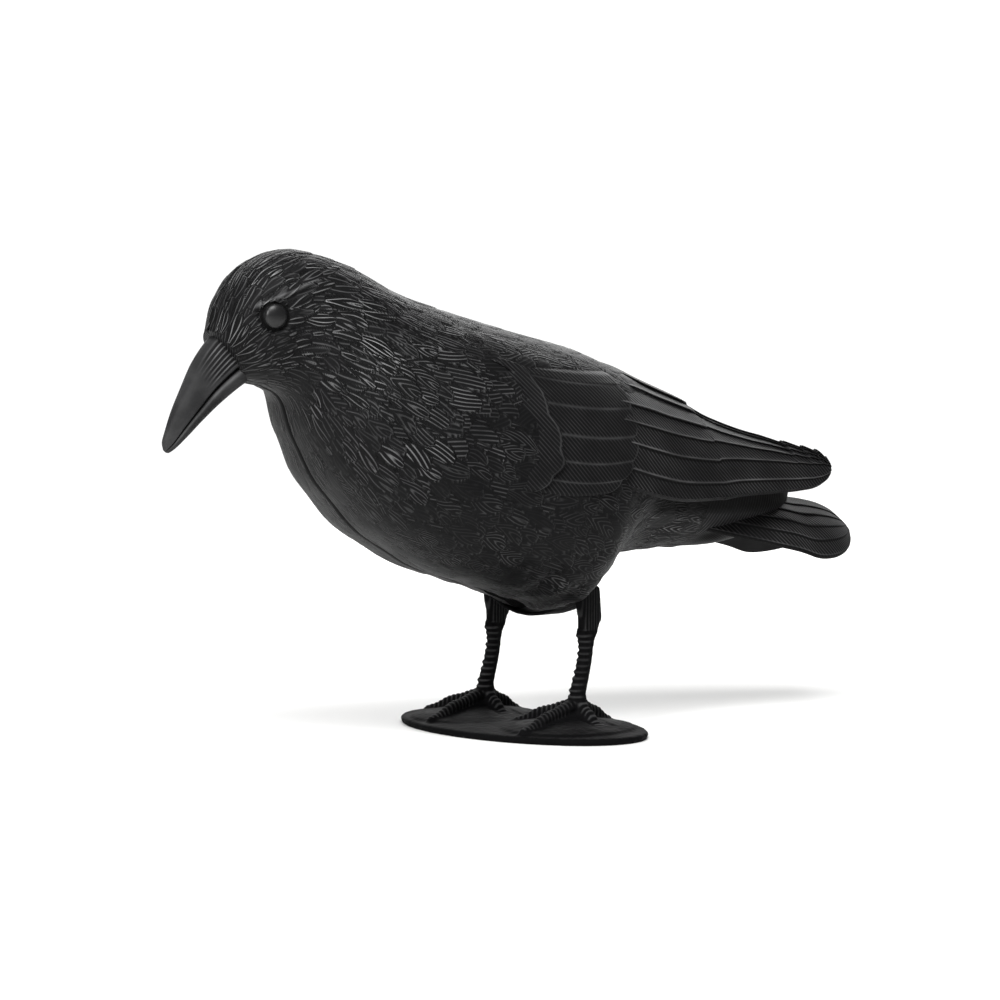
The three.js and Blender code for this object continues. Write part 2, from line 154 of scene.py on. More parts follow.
# Half-shells of the bird: head, neck and trunk. Each is one thin moulding of black polypropylene, 2 mm
# thick, open along the middle plane, with the plumage cut into the mould. Places on the bird are given
# in hundredths of its length: x back from the middle of the seat, z up from the belly.
halves = ((-1, "left_half"), (1, "right_half"))  # which side of the middle plane each lies on
share = 3.86  # mm, a hundredth of the bird's length
seat_back = -1.4  # mm, and the next two
belly_height = 62.0
shell_wall = 2.0
middle_plane = 0.0  # where the halves meet

# Slanted cuts through the trunk: upper end x, z, lower end x, z, half width, how far down it is widest,
# and how square its lower half is.
trunk_cuts = [
    (-43.6, 35.2, -39.9, 29.4, 3.8, .50, 2.0), (-41.8, 39.8, -38.5, 28.9, 6.1, .50, 2.2),
    (-38.6, 43.5, -36.4, 28.4, 7.5, .49, 2.4), (-33.3, 45.3, -34.0, 26.7, 8.0, .50, 2.6),
    (-25.9, 43.7, -32.2, 21.7, 10.1, .55, 2.8), (-18.7, 40.3, -28.8, 16.1, 12.7, .60, 2.9),
    (-10.9, 38.0, -23.2, 10.2, 14.8, .61, 2.9), (-2.1, 35.8, -15.1, 5.5, 15.9, .62, 2.9),
    (5.7, 34.0, -5.2, 2.3, 16.1, .62, 2.8), (11.4, 32.0, 2.6, -0.5, 15.0, .60, 2.4),
    (15.5, 30.2, 5.9, 1.0, 13.0, .57, 2.1), (20.2, 27.9, 11.1, 5.9, 10.9, .53, 2.0),
    (26.4, 24.3, 20.2, 7.1, 8.5, .50, 2.0), (33.7, 21.3, 30.1, 7.4, 6.7, .50, 2.0),
    (39.4, 18.1, 37.8, 9.3, 4.7, .50, 2.0), (43.0, 16.7, 42.2, 11.6, 1.4, .50, 2.0),
]
upper_square = 2.0
hollow_from, hollow_to = 2 / 30, 25 / 30  # between the first cut, at 0, and the last, at 1


def smooth_rows(table, t):
    """Rows between the rows of a table: t runs from 0 at the first to 1 at the last."""
    table = np.asarray(table, float)
    last = len(table) - 1
    at = np.minimum(np.asarray(t, float) * last, last - 1e-9)
    i = at.astype(int)
    f = (at - i)[..., None]
    here, ahead = table[i], table[i + 1]
    before = np.where(i[..., None] > 0, table[np.maximum(i - 1, 0)], 2 * here - ahead)
    beyond = np.where(i[..., None] + 2 <= last, table[np.minimum(i + 2, last)], 2 * ahead - here)
    bend = 2 * before - 5 * here + 4 * ahead - beyond + f * (3 * (here - ahead) + beyond - before)
    return here + 0.5 * f * (ahead - before + f * bend)


def smooth_step(low, high, value):
    """Climbs smoothly from 0 at low to 1 at high."""
    f = np.clip((value - low) / (high - low), 0, 1)
    return f * f * (3 - 2 * f)


def on_bird(x, y, z):
    """Millimetres from a place in shares."""
    return np.stack(np.broadcast_arrays(seat_back + x * share, y * share, belly_height + z * share), -1)


def trunk_rings(t, count, inset):
    """Half outlines of the cuts at t from the back to the belly, count + 1 evenly spaced points each."""
    top_x, top_z, low_x, low_z, half, widest, square = smooth_rows(trunk_cuts, t).T[:, :, None]
    angle = np.linspace(0, math.pi, 721)[None, :]
    power = 2 / np.where(np.cos(angle) > 0, upper_square, square)
    u = np.sign(np.cos(angle)) * np.abs(np.cos(angle)) ** power
    depth = np.where(u > 0, widest * (1 - u), widest - (1 - widest) * u)
    long = np.hypot(low_x - top_x, low_z - top_z) * share
    depth = inset / long + depth * (1 - 2 * inset / long)
    side = np.maximum(half - inset / share, 0) * np.abs(np.sin(angle)) ** power
    dense = on_bird(top_x + (low_x - top_x) * depth, side, top_z + (low_z - top_z) * depth)
    rings = np.empty((len(t), count + 1, 3))
    for k, ring in enumerate(dense):
        run = np.concatenate([[0], np.cumsum(np.linalg.norm(np.diff(ring, axis=0), axis=1))])
        even = np.linspace(0, run[-1], count + 1)
        for axis in range(3):
            rings[k, :, axis] = np.interp(even, run, ring[:, axis])
    return rings


def add_trait(mesh, trait, values):
    """Gives a mesh a named value at each of its points, for the material to read."""
    layer = mesh.attributes.new(trait, "FLOAT", "POINT")
    layer.data.foreach_set("value", values.astype(np.float32))


def shell_between(name, outer, inner, side, traits=None):
    """A closed wall between two sheets of points in mm. The inner sheet is coarser by a whole number.
    side is -1 for the bird's left, and traits holds named values at the outer sheet's points."""
    long, wide = outer.shape[0] - 1, outer.shape[1] - 1
    step = long // (inner.shape[0] - 1)
    bm = bmesh.new()
    bmesh.ops.create_grid(bm, x_segments=long // step, y_segments=wide // step, size=1)
    grown = bmesh.ops.extrude_face_region(bm, geom=bm.faces[:])["geom"]
    bmesh.ops.translate(bm, verts=[v for v in grown if isinstance(v, bmesh.types.BMVert)], vec=(0, 0, 1))
    if step > 1:
        skin_edges = [e for e in bm.edges if e.verts[0].co.z < 0.5 and e.verts[1].co.z < 0.5]
        bmesh.ops.subdivide_edges(bm, edges=skin_edges, cuts=step - 1, use_grid_fill=True)
    piece = add_object(name, bm)
    mesh = piece.data
    flat = np.empty(3 * len(mesh.vertices))
    mesh.vertices.foreach_get("co", flat)
    flat = flat.reshape(-1, 3)
    i = np.rint((flat[:, 0] + 1) / 2 * long).astype(int)
    j = np.rint((flat[:, 1] + 1) / 2 * wide).astype(int)
    outside = (flat[:, 2] < 0.5)[:, None]
    placed = np.where(outside, outer[i, j], inner[i // step, j // step]) * (0.001, 0.001 * side, 0.001)
    mesh.vertices.foreach_set("co", placed.ravel())
    for trait, values in (traits or {}).items():
        add_trait(mesh, trait, np.where(outside[:, 0], values[i, j], 0))
    bm = bmesh.new()
    bm.from_mesh(mesh)
    bmesh.ops.remove_doubles(bm, verts=bm.verts, dist=5e-6)
    bmesh.ops.recalc_face_normals(bm, faces=bm.faces)
    bm.to_mesh(mesh)
    bm.free()
    mesh.polygons.foreach_set("use_smooth", [True] * len(mesh.polygons))
    mesh.set_sharp_from_angle(angle=math.radians(50))
    return piece


# How the plumage looks in places on the flank: x, z, feather length and width in mm, how far it stands up
# in mm, the angle of its barbs to its shaft in degrees, their pitch and depth in mm, how far all of them
# lean one way (1) or part along the shaft (0), and how far the feather turns down off the run of the body.
plumage = [
    (-42, 38, 15, 5.5, .55, 6, 1.9, .56, 0, -16), (-38, 42, 16, 6.0, .55, 7, 1.9, .56, 0, -12),
    (-32, 44, 16, 6.5, .50, 8, 1.9, .50, 0, 0), (-35, 40, 17, 6.0, .60, 7, 2.0, .62, 0, -20),
    (-30, 36, 18, 6.5, .65, 7, 2.0, .70, 0, -14), (-24, 41, 16, 7.0, .40, 12, 1.9, .36, 0, 6),
    (-39, 34, 12, 4.5, .50, 7, 1.9, .50, 0, 0), (-36, 32, 15, 5.5, .50, 7, 1.9, .48, 0, -8),
    (-36, 29, 12, 5.0, .10, 6, 1.9, .10, 0, 0), (-31, 30, 17, 7.0, .60, 9, 2.0, .58, 0, -12),
    (-25, 36, 18, 7.5, .50, 14, 1.9, .44, 0, -8), (-24, 31, 19, 8.5, .65, 20, 1.9, .46, .4, -14),
    (-32, 25, 15, 6.5, .15, 8, 1.9, .14, 0, 0), (-28, 25, 18, 7.5, .55, 14, 1.9, .42, .3, -6),
    (-30, 19, 16, 8.0, .18, 8, 1.9, .12, 0, 0), (-24, 23, 19, 9.0, .65, 16, 2.0, .44, .6, -12),
    (-19, 29, 19, 11, .75, -18, 2.1, .40, .8, -10), (-19, 23, 17, 11, .75, -26, 2.2, .54, 1, -4),
    (-14, 25, 17, 12, .50, -32, 2.0, .20, 1, -4), (-12, 19, 18, 11, .30, 20, 1.5, .08, 0, -4),
    (-13, 32, 18, 10, .40, -24, 1.9, .16, .9, 0), (-7, 31, 18, 10, .35, -34, 1.8, .08, 1, 0),
    (-7, 25, 18, 11, .40, -38, 1.8, .08, 1, 0), (-6, 18, 18, 10, .30, -38, 1.8, .08, 1, 0),
    (-18, 17, 18, 10, .24, 18, 1.5, .09, 0, 0), (-23, 14, 18, 9.0, .18, 16, 1.5, .08, 0, 0),
    (-12, 36, 16, 8.0, .35, 14, 1.9, .24, 0, 0), (-4, 35, 17, 8.0, .35, 16, 1.9, .22, 0, 0),
    (-14, 9, 18, 10, .30, 20, 1.5, .10, 0, 0), (-4, 13, 18, 10, .20, 24, 1.5, .07, 0, 0),
    (-3, 5, 19, 9.0, .50, 22, 1.6, .16, 0, 8), (4, 11, 18, 10, .35, 24, 1.5, .12, 0, 8),
    (11, 9, 17, 8.0, .45, 16, 1.9, .32, 0, 0), (20, 10, 17, 7.0, .45, 16, 1.9, .34, 0, 0),
]

down_pitch, down_depth = 2.0, 0.14  # mm, of the strands that show between the feathers
waist, root_share, tip_power = 0.45, 0.6, 2.2  # where a feather is widest, its root's width, its tip's form
shaft_rise, shaft_width = 0.25, 0.5  # mm
edge_run = 0.8  # mm, over which a feather climbs from its edge
# The greyer tip is rubbed wear and painted highlight, and the darker edge is painted shade.
tip_bloom_and_highlight, edge_shade = 0.28, 0.55  # how much greyer its tip is, and how much darker its edge
row_share, column_share = 0.55, 0.85  # of its length and width that the next one leaves bare

eye_place = (-37.9, 36.8)
eye_radius, eye_bulge = 5.6, 2.6  # mm, and the next two lines
eye_ring, socket_depth = 6.7, 1.4
brow_rise, brow_fold = 1.0, 0.5
brow_slope = 0.43


def plumage_at(x, z):
    """The plumage at a place on the flank, from the nearest rows of the table."""
    near = np.array(plumage)
    weight = 1 / ((near[:, 0] - x) ** 2 + (near[:, 1] - z) ** 2 + 2) ** 2
    return (near[:, 2:] * weight[:, None]).sum(0) / weight.sum()


def lay_feather(skin, relief, i, j, length, width, tip, barb_angle, pitch, depth, one_way, turn, bend):
    """Cuts one feather into the relief, over what lies there: a scale that rises to its round tip."""
    points, normals, flow = skin["points"], skin["normals"], skin["flow"]
    rows = int(length / skin["cell_i"][i, j]) + 2
    columns = int(max(0.8 * length, width) / skin["cell_j"][i, j]) + 2
    window = (slice(max(i - 3, 0), min(i + rows, points.shape[0])),
              slice(max(j - columns, 0), min(j + columns, points.shape[1])))
    away = points[window] - points[i, j]
    n = normals[i, j]
    heading = flow[i, j] * math.cos(turn) + np.cross(n, flow[i, j]) * math.sin(turn)
    along = away @ heading
    u = along / length
    across = away @ np.cross(n, heading) + bend * np.sin(math.pi * np.clip(u, 0, 1))
    taper = np.clip((u - waist) / (1 - waist), 0, 1)
    half = 0.5 * width * np.where(u < waist, root_share + (1 - root_share) * np.clip(u / waist, 0, 1),
                                  np.sqrt(np.clip(1 - taper ** tip_power, 0, 1)))
    inside = (u > 0) & (u < 1) & (np.abs(across) < half) & (np.abs(away @ n) < width)
    rim = np.minimum(half - np.abs(across), (1 - u) * length)[inside]
    u, across, along = u[inside], across[inside], along[inside]
    shaft = shaft_rise * np.exp(-(across / shaft_width) ** 2) * (1 - smooth_step(0.8, 0.95, u))
    spread = np.clip(2 * half[inside] / width, 0.45, 1)
    side = one_way * across + (1 - one_way) * np.abs(across) / spread
    tip_line = np.exp(-((rim - 0.6) / 0.5) ** 2) * smooth_step(0.4, 0.8, u)
    climb = smooth_step(0, edge_run, rim)
    relief["height"][window][inside] = tip * (u * climb + shaft)
    relief["barb"][window][inside] = (side * math.cos(barb_angle) - along * math.sin(barb_angle)) / pitch
    relief["barb_depth"][window][inside] = depth * smooth_step(0.2, 1.0, rim)
    # Painted highlight along the tip, and painted shade where the feather rises from its edge.
    relief["tone"][window][inside] = min(1, 1.4 * tip) * (tip_bloom_and_highlight * tip_line - edge_shade * (1 - climb))


def trunk_skin(long, wide):
    """The smooth skin: its points, normals, the run of the body along it, and the spacing of its points."""
    t = np.linspace(0, 1, 3001)
    cuts = smooth_rows(trunk_cuts, t)
    top_run = np.hypot(np.diff(cuts[:, 0]), np.diff(cuts[:, 1]))
    low_run = np.hypot(np.diff(cuts[:, 2]), np.diff(cuts[:, 3]))
    middle = 0.5 * (cuts[1:, 0] + cuts[1:, 2])
    dense = np.where(middle < 9, 1, 0.4)  # fewer rings behind the coverts, under the wing
    run = np.concatenate([[0], np.cumsum(np.maximum(top_run, low_run) * dense)])
    cap = 6  # rings that close each end
    body_t = np.interp(np.linspace(0, run[-1], long + 1 - 2 * cap), run, t)
    t = np.concatenate([np.zeros(cap), body_t, np.ones(cap)])
    closing = np.linspace(0, 0.96, cap)
    open_share = np.concatenate([closing, np.ones(len(body_t)), closing[::-1]])
    points = trunk_rings(t, wide, 0)
    points[..., 1] *= open_share[:, None]
    along = np.gradient(points, axis=0)
    down = np.gradient(points, axis=1)
    normals = np.cross(along, down)
    normals *= np.sign(normals[len(t) // 2, wide // 2, 1])
    normals /= np.maximum(np.linalg.norm(normals, axis=-1, keepdims=True), 1e-9)
    cell_i = np.maximum(np.linalg.norm(along, axis=-1), 1e-3)
    cell_j = np.maximum(np.linalg.norm(down, axis=-1), 1e-3)
    flow = along - (along * normals).sum(-1, keepdims=True) * normals
    flow /= np.maximum(np.linalg.norm(flow, axis=-1, keepdims=True), 1e-9)
    return {"points": points, "normals": normals, "flow": flow, "cell_i": cell_i, "cell_j": cell_j,
            "t": t, "open": open_share, "cap": cap}


def plume(skin, seed):
    """The plumage of one half, laid from the tail to the beak, each feather over the roots behind it."""
    points = skin["points"]
    long, wide = points.shape[0] - 1, points.shape[1] - 1
    relief = {name: np.zeros(points.shape[:2]) for name in ("height", "barb", "barb_depth", "tone")}
    relief["barb"] += np.cumsum(skin["cell_j"], axis=1) / down_pitch
    relief["barb_depth"] += down_depth
    chance = np.random.default_rng(seed)
    x = (points[..., 0] - seat_back) / share
    z = (points[..., 2] - belly_height) / share
    middle = wide // 2
    lengths = np.array([plumage_at(a, b)[0] for a, b in zip(x[:, middle], z[:, middle])])
    # Rows of feathers lie closer where the feathers are short.
    stride = np.maximum(skin["cell_i"][:, wide // 4], skin["cell_i"][:, 3 * wide // 4])
    stride[:skin["cap"]] = 1e-3
    rows = np.cumsum(stride / (row_share * lengths))
    roots = []
    for row in range(int(rows[-1]) + 1, -1, -1):
        i = int(np.searchsorted(rows, row + 0.1))
        if not skin["cap"] < i < long - skin["cap"]:
            continue
        j = 0.0
        while j < wide:
            cell, width = skin["cell_j"][i, int(j)], plumage_at(x[i, int(j)], z[i, int(j)])[1]
            shaft_j = int(j + (0.5 + 0.3 * chance.uniform(-1, 1)) * width / cell)
            roots.append((i, min(shaft_j, wide)))
            j += column_share * width / cell
    roots = [(i + int(chance.uniform(-0.25, 0.25) * 0.6 * lengths[i] / stride[i]), j) for i, j in roots]
    for i, j in roots:
        i = min(max(i, skin["cap"] + 1), long - skin["cap"] - 1)
        length, width, tip, angle, pitch, depth, one_way, turn = plumage_at(x[i, j], z[i, j])
        lay_feather(skin, relief, i, j,
                    length * chance.uniform(0.75, 1.25), width * chance.uniform(0.8, 1.25),
                    tip * chance.uniform(0.5, 1.3), math.radians(angle * chance.uniform(0.6, 1.4)),
                    pitch * chance.uniform(0.85, 1.2), 1.6 * depth * chance.uniform(0.2, 1) ** 1.6,
                    round(one_way * chance.uniform(0.6, 1.1)), math.radians(turn + chance.uniform(-12, 12)),
                    0.08 * length * chance.uniform(-1, 1))
    return relief, x, z


def shape_head(x, z):
    """How far the head stands out round the eye, how wholly the plumage covers the place, and the brow."""
    away = np.hypot(x - eye_place[0], z - eye_place[1]) * share
    socket = -socket_depth * np.exp(-(away - eye_ring) ** 2)
    over = (z - eye_place[1] - 1.95 - brow_slope * (x - eye_place[0])) * share
    beside = smooth_step(-40.5, -39, x) * (1 - smooth_step(-34, -31.5, x))
    brow = (brow_rise * np.exp(-(over / 1.1) ** 2) - brow_fold * np.exp(-((over + 2.2) / 0.9) ** 2)) * beside
    return socket + brow, smooth_step(eye_ring - 0.6, eye_ring + 0.8, away), brow


# Satin black polypropylene, moulded: a soft sheen, faint flow marks, and a grey bloom on the ridges that is
# partly rubbed wear and partly painted highlight, while the grooves are painted near-black as painted shade.
# Barbs are grooves 1.5 to 2 mm apart that follow each feather. The finest of the real ones are closer,
# and are drawn this coarse to show.
groove_shade_black, black_plastic, rubbed_and_highlight_grey = linear("#040404"), linear("#0c0c0d"), linear("#9c9c9d")
grain_mm, cloud_mm, blotch_mm = 0.5, 1000 / 55, 4.0
grain_height = 0.03
ridge_power, ridge_mean = 2.2, 0.36  # how narrow the ridges are, and their mean height
bloom_and_highlight_gain, groove_shade_gain = 1.5, 1.3


def moulded_plastic(name, dull, gloss, mottle=0.03):
    """Black plastic of a roughness and gloss. mottle is the height of its unevenness in mm."""
    material, tree = new_material(name)
    place = add_node(tree, "ShaderNodeTexCoord").outputs["Object"]
    barb, depth, tone = (add_node(tree, "ShaderNodeAttribute", attribute_name=trait).outputs["Fac"]
                         for trait in ("barb", "barb_depth", "tone"))
    turn = add_node(tree, "ShaderNodeMath", {0: barb, 1: math.tau}, operation="MULTIPLY").outputs[0]
    wave = add_node(tree, "ShaderNodeMath", {0: turn}, operation="SINE").outputs[0]
    wave = add_node(tree, "ShaderNodeMath", {0: wave, 1: 0.5, 2: 0.5}, operation="MULTIPLY_ADD").outputs[0]
    wave = add_node(tree, "ShaderNodeMath", {0: wave, 1: ridge_power}, operation="POWER").outputs[0]
    ridge = add_node(tree, "ShaderNodeMath", {0: wave, 1: depth}, operation="MULTIPLY").outputs[0]
    grain, cloud, blotch = (
        add_node(tree, "ShaderNodeTexNoise", {
            "Vector": place, "Scale": 1000 / size, "Detail": detail}).outputs["Fac"]
        for size, detail in ((grain_mm, 3.0), (cloud_mm, 5.0), (blotch_mm, 2.0)))
    surface = add_node(tree, "ShaderNodeMath", {
        0: grain, 1: grain_height, 2: ridge}, operation="MULTIPLY_ADD").outputs[0]
    surface = add_node(tree, "ShaderNodeMath", {
        0: blotch, 1: mottle, 2: surface}, operation="MULTIPLY_ADD").outputs[0]
    bump = add_node(tree, "ShaderNodeBump", {
        "Height": surface, "Distance": 0.001, "Strength": 1.0}).outputs[0]
    mean = add_node(tree, "ShaderNodeMath", {
        0: depth, 1: -ridge_mean, 2: ridge}, operation="MULTIPLY_ADD").outputs[0]
    crest = add_node(tree, "ShaderNodeMath", {
        0: mean, 1: bloom_and_highlight_gain, 2: tone}, operation="MULTIPLY_ADD").outputs[0]
    patchy = add_node(tree, "ShaderNodeMapRange", {
        "Value": cloud, 1: 0.35, 2: 0.65, 3: 0.35, 4: 1.0}).outputs[0]
    # The grey bloom on the crests: rubbed wear and painted highlight together.
    worn_and_lit = add_node(tree, "ShaderNodeMath", {
        0: crest, 1: patchy}, operation="MULTIPLY", use_clamp=True).outputs[0]
    # Painted shade: grooves and other marked hollows go near-black.
    painted_shade = add_node(tree, "ShaderNodeMath", {
        0: crest, 1: -groove_shade_gain}, operation="MULTIPLY", use_clamp=True).outputs[0]
    colour = add_node(tree, "ShaderNodeMix", {
        0: worn_and_lit, 6: black_plastic, 7: rubbed_and_highlight_grey}, data_type="RGBA").outputs[2]
    colour = add_node(tree, "ShaderNodeMix", {
        0: painted_shade, 6: colour, 7: groove_shade_black}, data_type="RGBA").outputs[2]
    sheen = add_node(tree, "ShaderNodeMapRange", {
        "Value": cloud, 1: 0.3, 2: 0.7, 3: dull - 0.05, 4: dull + 0.07}).outputs[0]
    rough = add_node(tree, "ShaderNodeMath", {
        0: painted_shade, 1: 0.3, 2: sheen}, operation="MULTIPLY_ADD", use_clamp=True).outputs[0]
    coat = add_node(tree, "ShaderNodeBsdfPrincipled", {
        "Base Color": colour, "Roughness": rough, "IOR": 1.49, "Specular IOR Level": gloss, "Normal": bump})
    add_node(tree, "ShaderNodeOutputMaterial", {"Surface": coat.outputs[0]})
    return material


body_plastic = moulded_plastic("satin_moulded_polypropylene", 0.52, 0.12)

# The belly is open round the thighs and the yoke, and in a slot ahead of them. The stand's own axes are
# turned on the bird: a towards the right foot, b towards the toes. All in mm.
stand_turn = math.radians(15)
leg_spacing, leg_setback, shin_lean = 65.0, 6.6, 6.4
thigh_width, thigh_depth, thigh_length, thigh_rise = 14.6, 6.4, 23.0, 11.0
thigh_top = belly_height + thigh_rise
yoke_wall, yoke_width, yoke_lead = 2.0, 19.0, 3.2
yoke_height = belly_height - 2.2
fit = 0.5  # left free round the thighs and the yoke
notch_gap = 6.0  # between a thigh and the edge of its notch
room_share, room_shift = 1.18, 0.1  # of the thigh's width, because the thigh leans
slot_length, slot_width, slot_back = 44.0, 18.0, 2.0


def on_stand(a, b, z):
    """From the stand's own axes to the bird's."""
    return np.stack(np.broadcast_arrays(-math.sin(stand_turn) * a - math.cos(stand_turn) * b,
                                        math.cos(stand_turn) * a - math.sin(stand_turn) * b, z), -1)


def yoke_band(steps, grow):
    """Upper and lower sheet of the bent band between the thighs."""
    bend = [(0, yoke_height - yoke_wall), (.5, yoke_height + yoke_wall / 2),
            (.8, thigh_top - .6 * thigh_rise), (1, thigh_top - .27 * thigh_rise)]
    line = smooth_rows([(-a, z) for a, z in bend[:0:-1]] + bend, np.linspace(0, 1, steps + 1))
    line[:, 0] *= leg_spacing / 2
    run = np.gradient(line, axis=0)
    out = np.stack([-run[:, 1], run[:, 0]], -1) / np.linalg.norm(run, axis=1, keepdims=True)
    half = yoke_wall / 2 + grow
    b = np.linspace(yoke_lead - leg_setback + grow, yoke_lead - leg_setback - yoke_width - grow, 5)[None, :]
    sheets = []
    for way in (1, -1):
        p = line + way * half * out
        sheets.append(on_stand(p[:, :1], b, p[:, 1:]))
    return sheets


def apply_modifiers(piece):
    """Makes what the modifiers of a piece do part of its mesh."""
    done = bpy.data.meshes.new_from_object(piece.evaluated_get(bpy.context.evaluated_depsgraph_get()))
    piece.modifiers.clear()
    spare = piece.data
    piece.data = done
    bpy.data.meshes.remove(spare)


def add_cutter(name, size, place, turn=0, rounded=True):
    """An upright cylinder or a box to cut with: its size, where its middle is, and its turn."""
    bm = bmesh.new()
    if rounded:
        bmesh.ops.create_cone(bm, cap_ends=True, segments=48, radius1=0.5, radius2=0.5, depth=1)
    else:
        bmesh.ops.create_cube(bm, size=1)
    bmesh.ops.scale(bm, verts=bm.verts, vec=size)
    bmesh.ops.rotate(bm, verts=bm.verts, cent=(0, 0, 0), matrix=Matrix.Rotation(turn, 3, "Z"))
    bmesh.ops.translate(bm, verts=bm.verts, vec=place)
    bmesh.ops.scale(bm, verts=bm.verts, vec=(0.001, 0.001, 0.001))
    return add_object(name, bm)


cutters = [add_cutter("slot_cutter", (slot_length, slot_width, 4 * thigh_rise),
                      (seat_back + slot_back, 0, yoke_height))]
upper, lower = yoke_band(24, fit)
cutters.append(shell_between("yoke_cutter", upper, lower, 1))
for way in (-1, 1):
    thigh_a, thigh_b = way * leg_spacing / 2, -leg_setback - shin_lean
    notch_x, notch_y, _ = on_stand(thigh_a, thigh_b, 0)
    cutters.append(add_cutter("notch_cutter", (thigh_width + 2 * notch_gap, thigh_depth + 2 * notch_gap,
                                               2 * thigh_rise), (notch_x, notch_y, belly_height), stand_turn))
    room_x, room_y, _ = on_stand(thigh_a, thigh_b - room_shift * thigh_width, 0)
    cutters.append(add_cutter("thigh_cutter", (room_share * thigh_width, thigh_depth + 2 * fit,
                                               thigh_length + 2 * fit),
                              (room_x, room_y, thigh_top - thigh_length / 2), stand_turn, rounded=False))

# The left half faces the camera and has the finer mesh. Heights and depths of what lies on the skin are
# in mm. Tones above nought are shares of the grey bloom, rubbed wear and painted highlight together, and
# tones below nought are shares of painted shade.
rumple_height, fold_height = 0.16, 0.4
seam_depth, seam_width = 0.9, 1.1
tail_hollow = 1.5  # under the root of the tail
vane_pitch = 1.8  # mm, between barbs on coverts, wing and tail
vane_x, vane_z = 0.77, 0.64  # the way across the barbs of coverts and tail root
neck_lightening = 0.03  # how much lighter the side of the neck is
coarse = 4  # cells of the outer sheet to one of the inner

eye_skin = {}  # how far out the skin lies at each eye
for (side, name), (long, wide, seed) in zip(halves, ((500, 176, 11), (400, 144, 23))):
    skin = trunk_skin(long, wide)
    relief, x, z = plume(skin, seed)
    head_form, plain, brow = shape_head(x, z)
    height = relief["height"] * plain + head_form
    run = np.cumsum(skin["cell_j"], axis=1)
    to_seam = np.minimum(run, run[:, -1:] - run)
    # The moulding is a little uneven all over below the crown, and folded towards the belly.
    rumple = np.sin(0.42 * x + 0.5 * z) + np.sin(0.7 * x - 0.31 * z + 2) + np.sin(0.23 * x - 0.83 * z + 4)
    height = height + rumple_height * rumple * smooth_step(36, 30, z)
    folds = np.sin(1.5 * x + 0.7 * z + 1.3 * np.sin(0.8 * z)) + np.sin(1.0 * x - 1.4 * z + 1)
    height = height + fold_height * folds * smooth_step(11, 4, z) * smooth_step(-14, -6, x)
    # The plumage ends where the tail begins, and a hollow runs below the tail's root. Painted shade darkens
    # that hollow, the seam's groove and a band under the wing's lower edge.
    seam_groove = np.exp(-(to_seam / seam_width) ** 2)
    tail_root = smooth_step(23, 26, x)
    under_wing_shadow = smooth_step(11.6, 12.8, z) * (1 - smooth_step(18, 20, z)) * smooth_step(13, 17, x)
    hollow = np.exp(-((x - 28) / 2.2) ** 2 - ((z - 8.5) / 0.7) ** 2)
    height = height * (1 - tail_root) - tail_hollow * hollow
    height = height * smooth_step(0.3, 2.5, to_seam) - seam_depth * seam_groove
    height[:skin["cap"]] = 0
    height[-skin["cap"]:] = 0
    outer = skin["points"] + skin["normals"] * height[..., None]
    outer[..., 1] = np.maximum(outer[..., 1], middle_plane)
    # The inside follows the skin a wall's thickness further in, and closes towards beak and tail.
    inner_t = skin["t"][::coarse]
    inner = trunk_rings(np.clip(inner_t, hollow_from, hollow_to), wide // coarse, shell_wall)
    open_to = np.minimum(np.clip(inner_t / hollow_from, 0, 1), np.clip((1 - inner_t) / (1 - hollow_to), 0, 1))
    open_to = (open_to * (skin["open"][::coarse] > 0.99))[:, None]
    inner[..., 1] = np.maximum(inner[..., 1] * open_to, middle_plane)
    neck_patch = smooth_step(19, 26, z) * smooth_step(-34, -28, x) * (1 - smooth_step(-20, -12, x))
    from_eye = np.hypot(x - eye_place[0], z - eye_place[1])
    tail_barb = (vane_x * skin["points"][..., 0] - vane_z * skin["points"][..., 1]) / vane_pitch
    barb_depth = relief["barb_depth"] * plain * (1 - tail_root) + 0.15 * np.clip(2 * tail_root - 1, 0, 1)
    # Painted shade darkens the socket round the eye, and the brow's ridge is lighter with wear and painted
    # highlight.
    tone = np.where(plain < 0.5, -0.9 * (from_eye * share > eye_radius),
                    relief["tone"] * (1 - tail_root) + 0.5 * np.clip(brow, 0, None))
    # Painted shade darkens the seam, a band under the wing and the hollow below the tail's root.
    traits = {"barb": np.where(tail_root > 0.5, tail_barb, relief["barb"]),
              "barb_depth": barb_depth * smooth_step(0.3, 2, to_seam) * (1 - seam_groove),
              "tone": tone + neck_lightening * neck_patch - 0.9 * seam_groove - 0.6 * under_wing_shadow - hollow}
    trunk = shell_between(name + "_trunk", outer, inner, side, traits)
    for cutter in cutters:
        cut = trunk.modifiers.new("cut", "BOOLEAN")
        cut.operation = "DIFFERENCE"
        cut.solver = "MANIFOLD"
        cut.object = cutter
        apply_modifiers(trunk)
    trunk.data.materials.clear()
    trunk.data.materials.append(body_plastic)
    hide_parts(name)
    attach(trunk, "root")
    eye_skin[side] = skin["points"].reshape(-1, 3)[np.argmin(from_eye)][1]

for cutter in cutters:
    bpy.data.objects.remove(cutter)


# Beak: the solid front of each half-shell, moulded with it in the same polypropylene, smooth and a little
# more worn than the plumage. The groove between the mandibles runs from the gape to the tip, and bristles
# lie over the root of the upper one.
beak_cuts = [
    # upper end x, z, lower end x, z, and half width
    (-41.5, 35.8, -37.8, 29.5, 3.4), (-43.5, 34.2, -39.8, 28.2, 3.1), (-45.5, 31.5, -42.2, 26.3, 2.5),
    (-47.0, 28.4, -44.4, 24.3, 2.0), (-48.3, 25.5, -46.2, 22.5, 1.4), (-49.2, 22.9, -47.7, 21.1, 0.9),
    (-49.5, 21.8, -48.6, 20.5, 0.6), (-49.4, 20.9, -49.0, 20.5, 0.2),
]
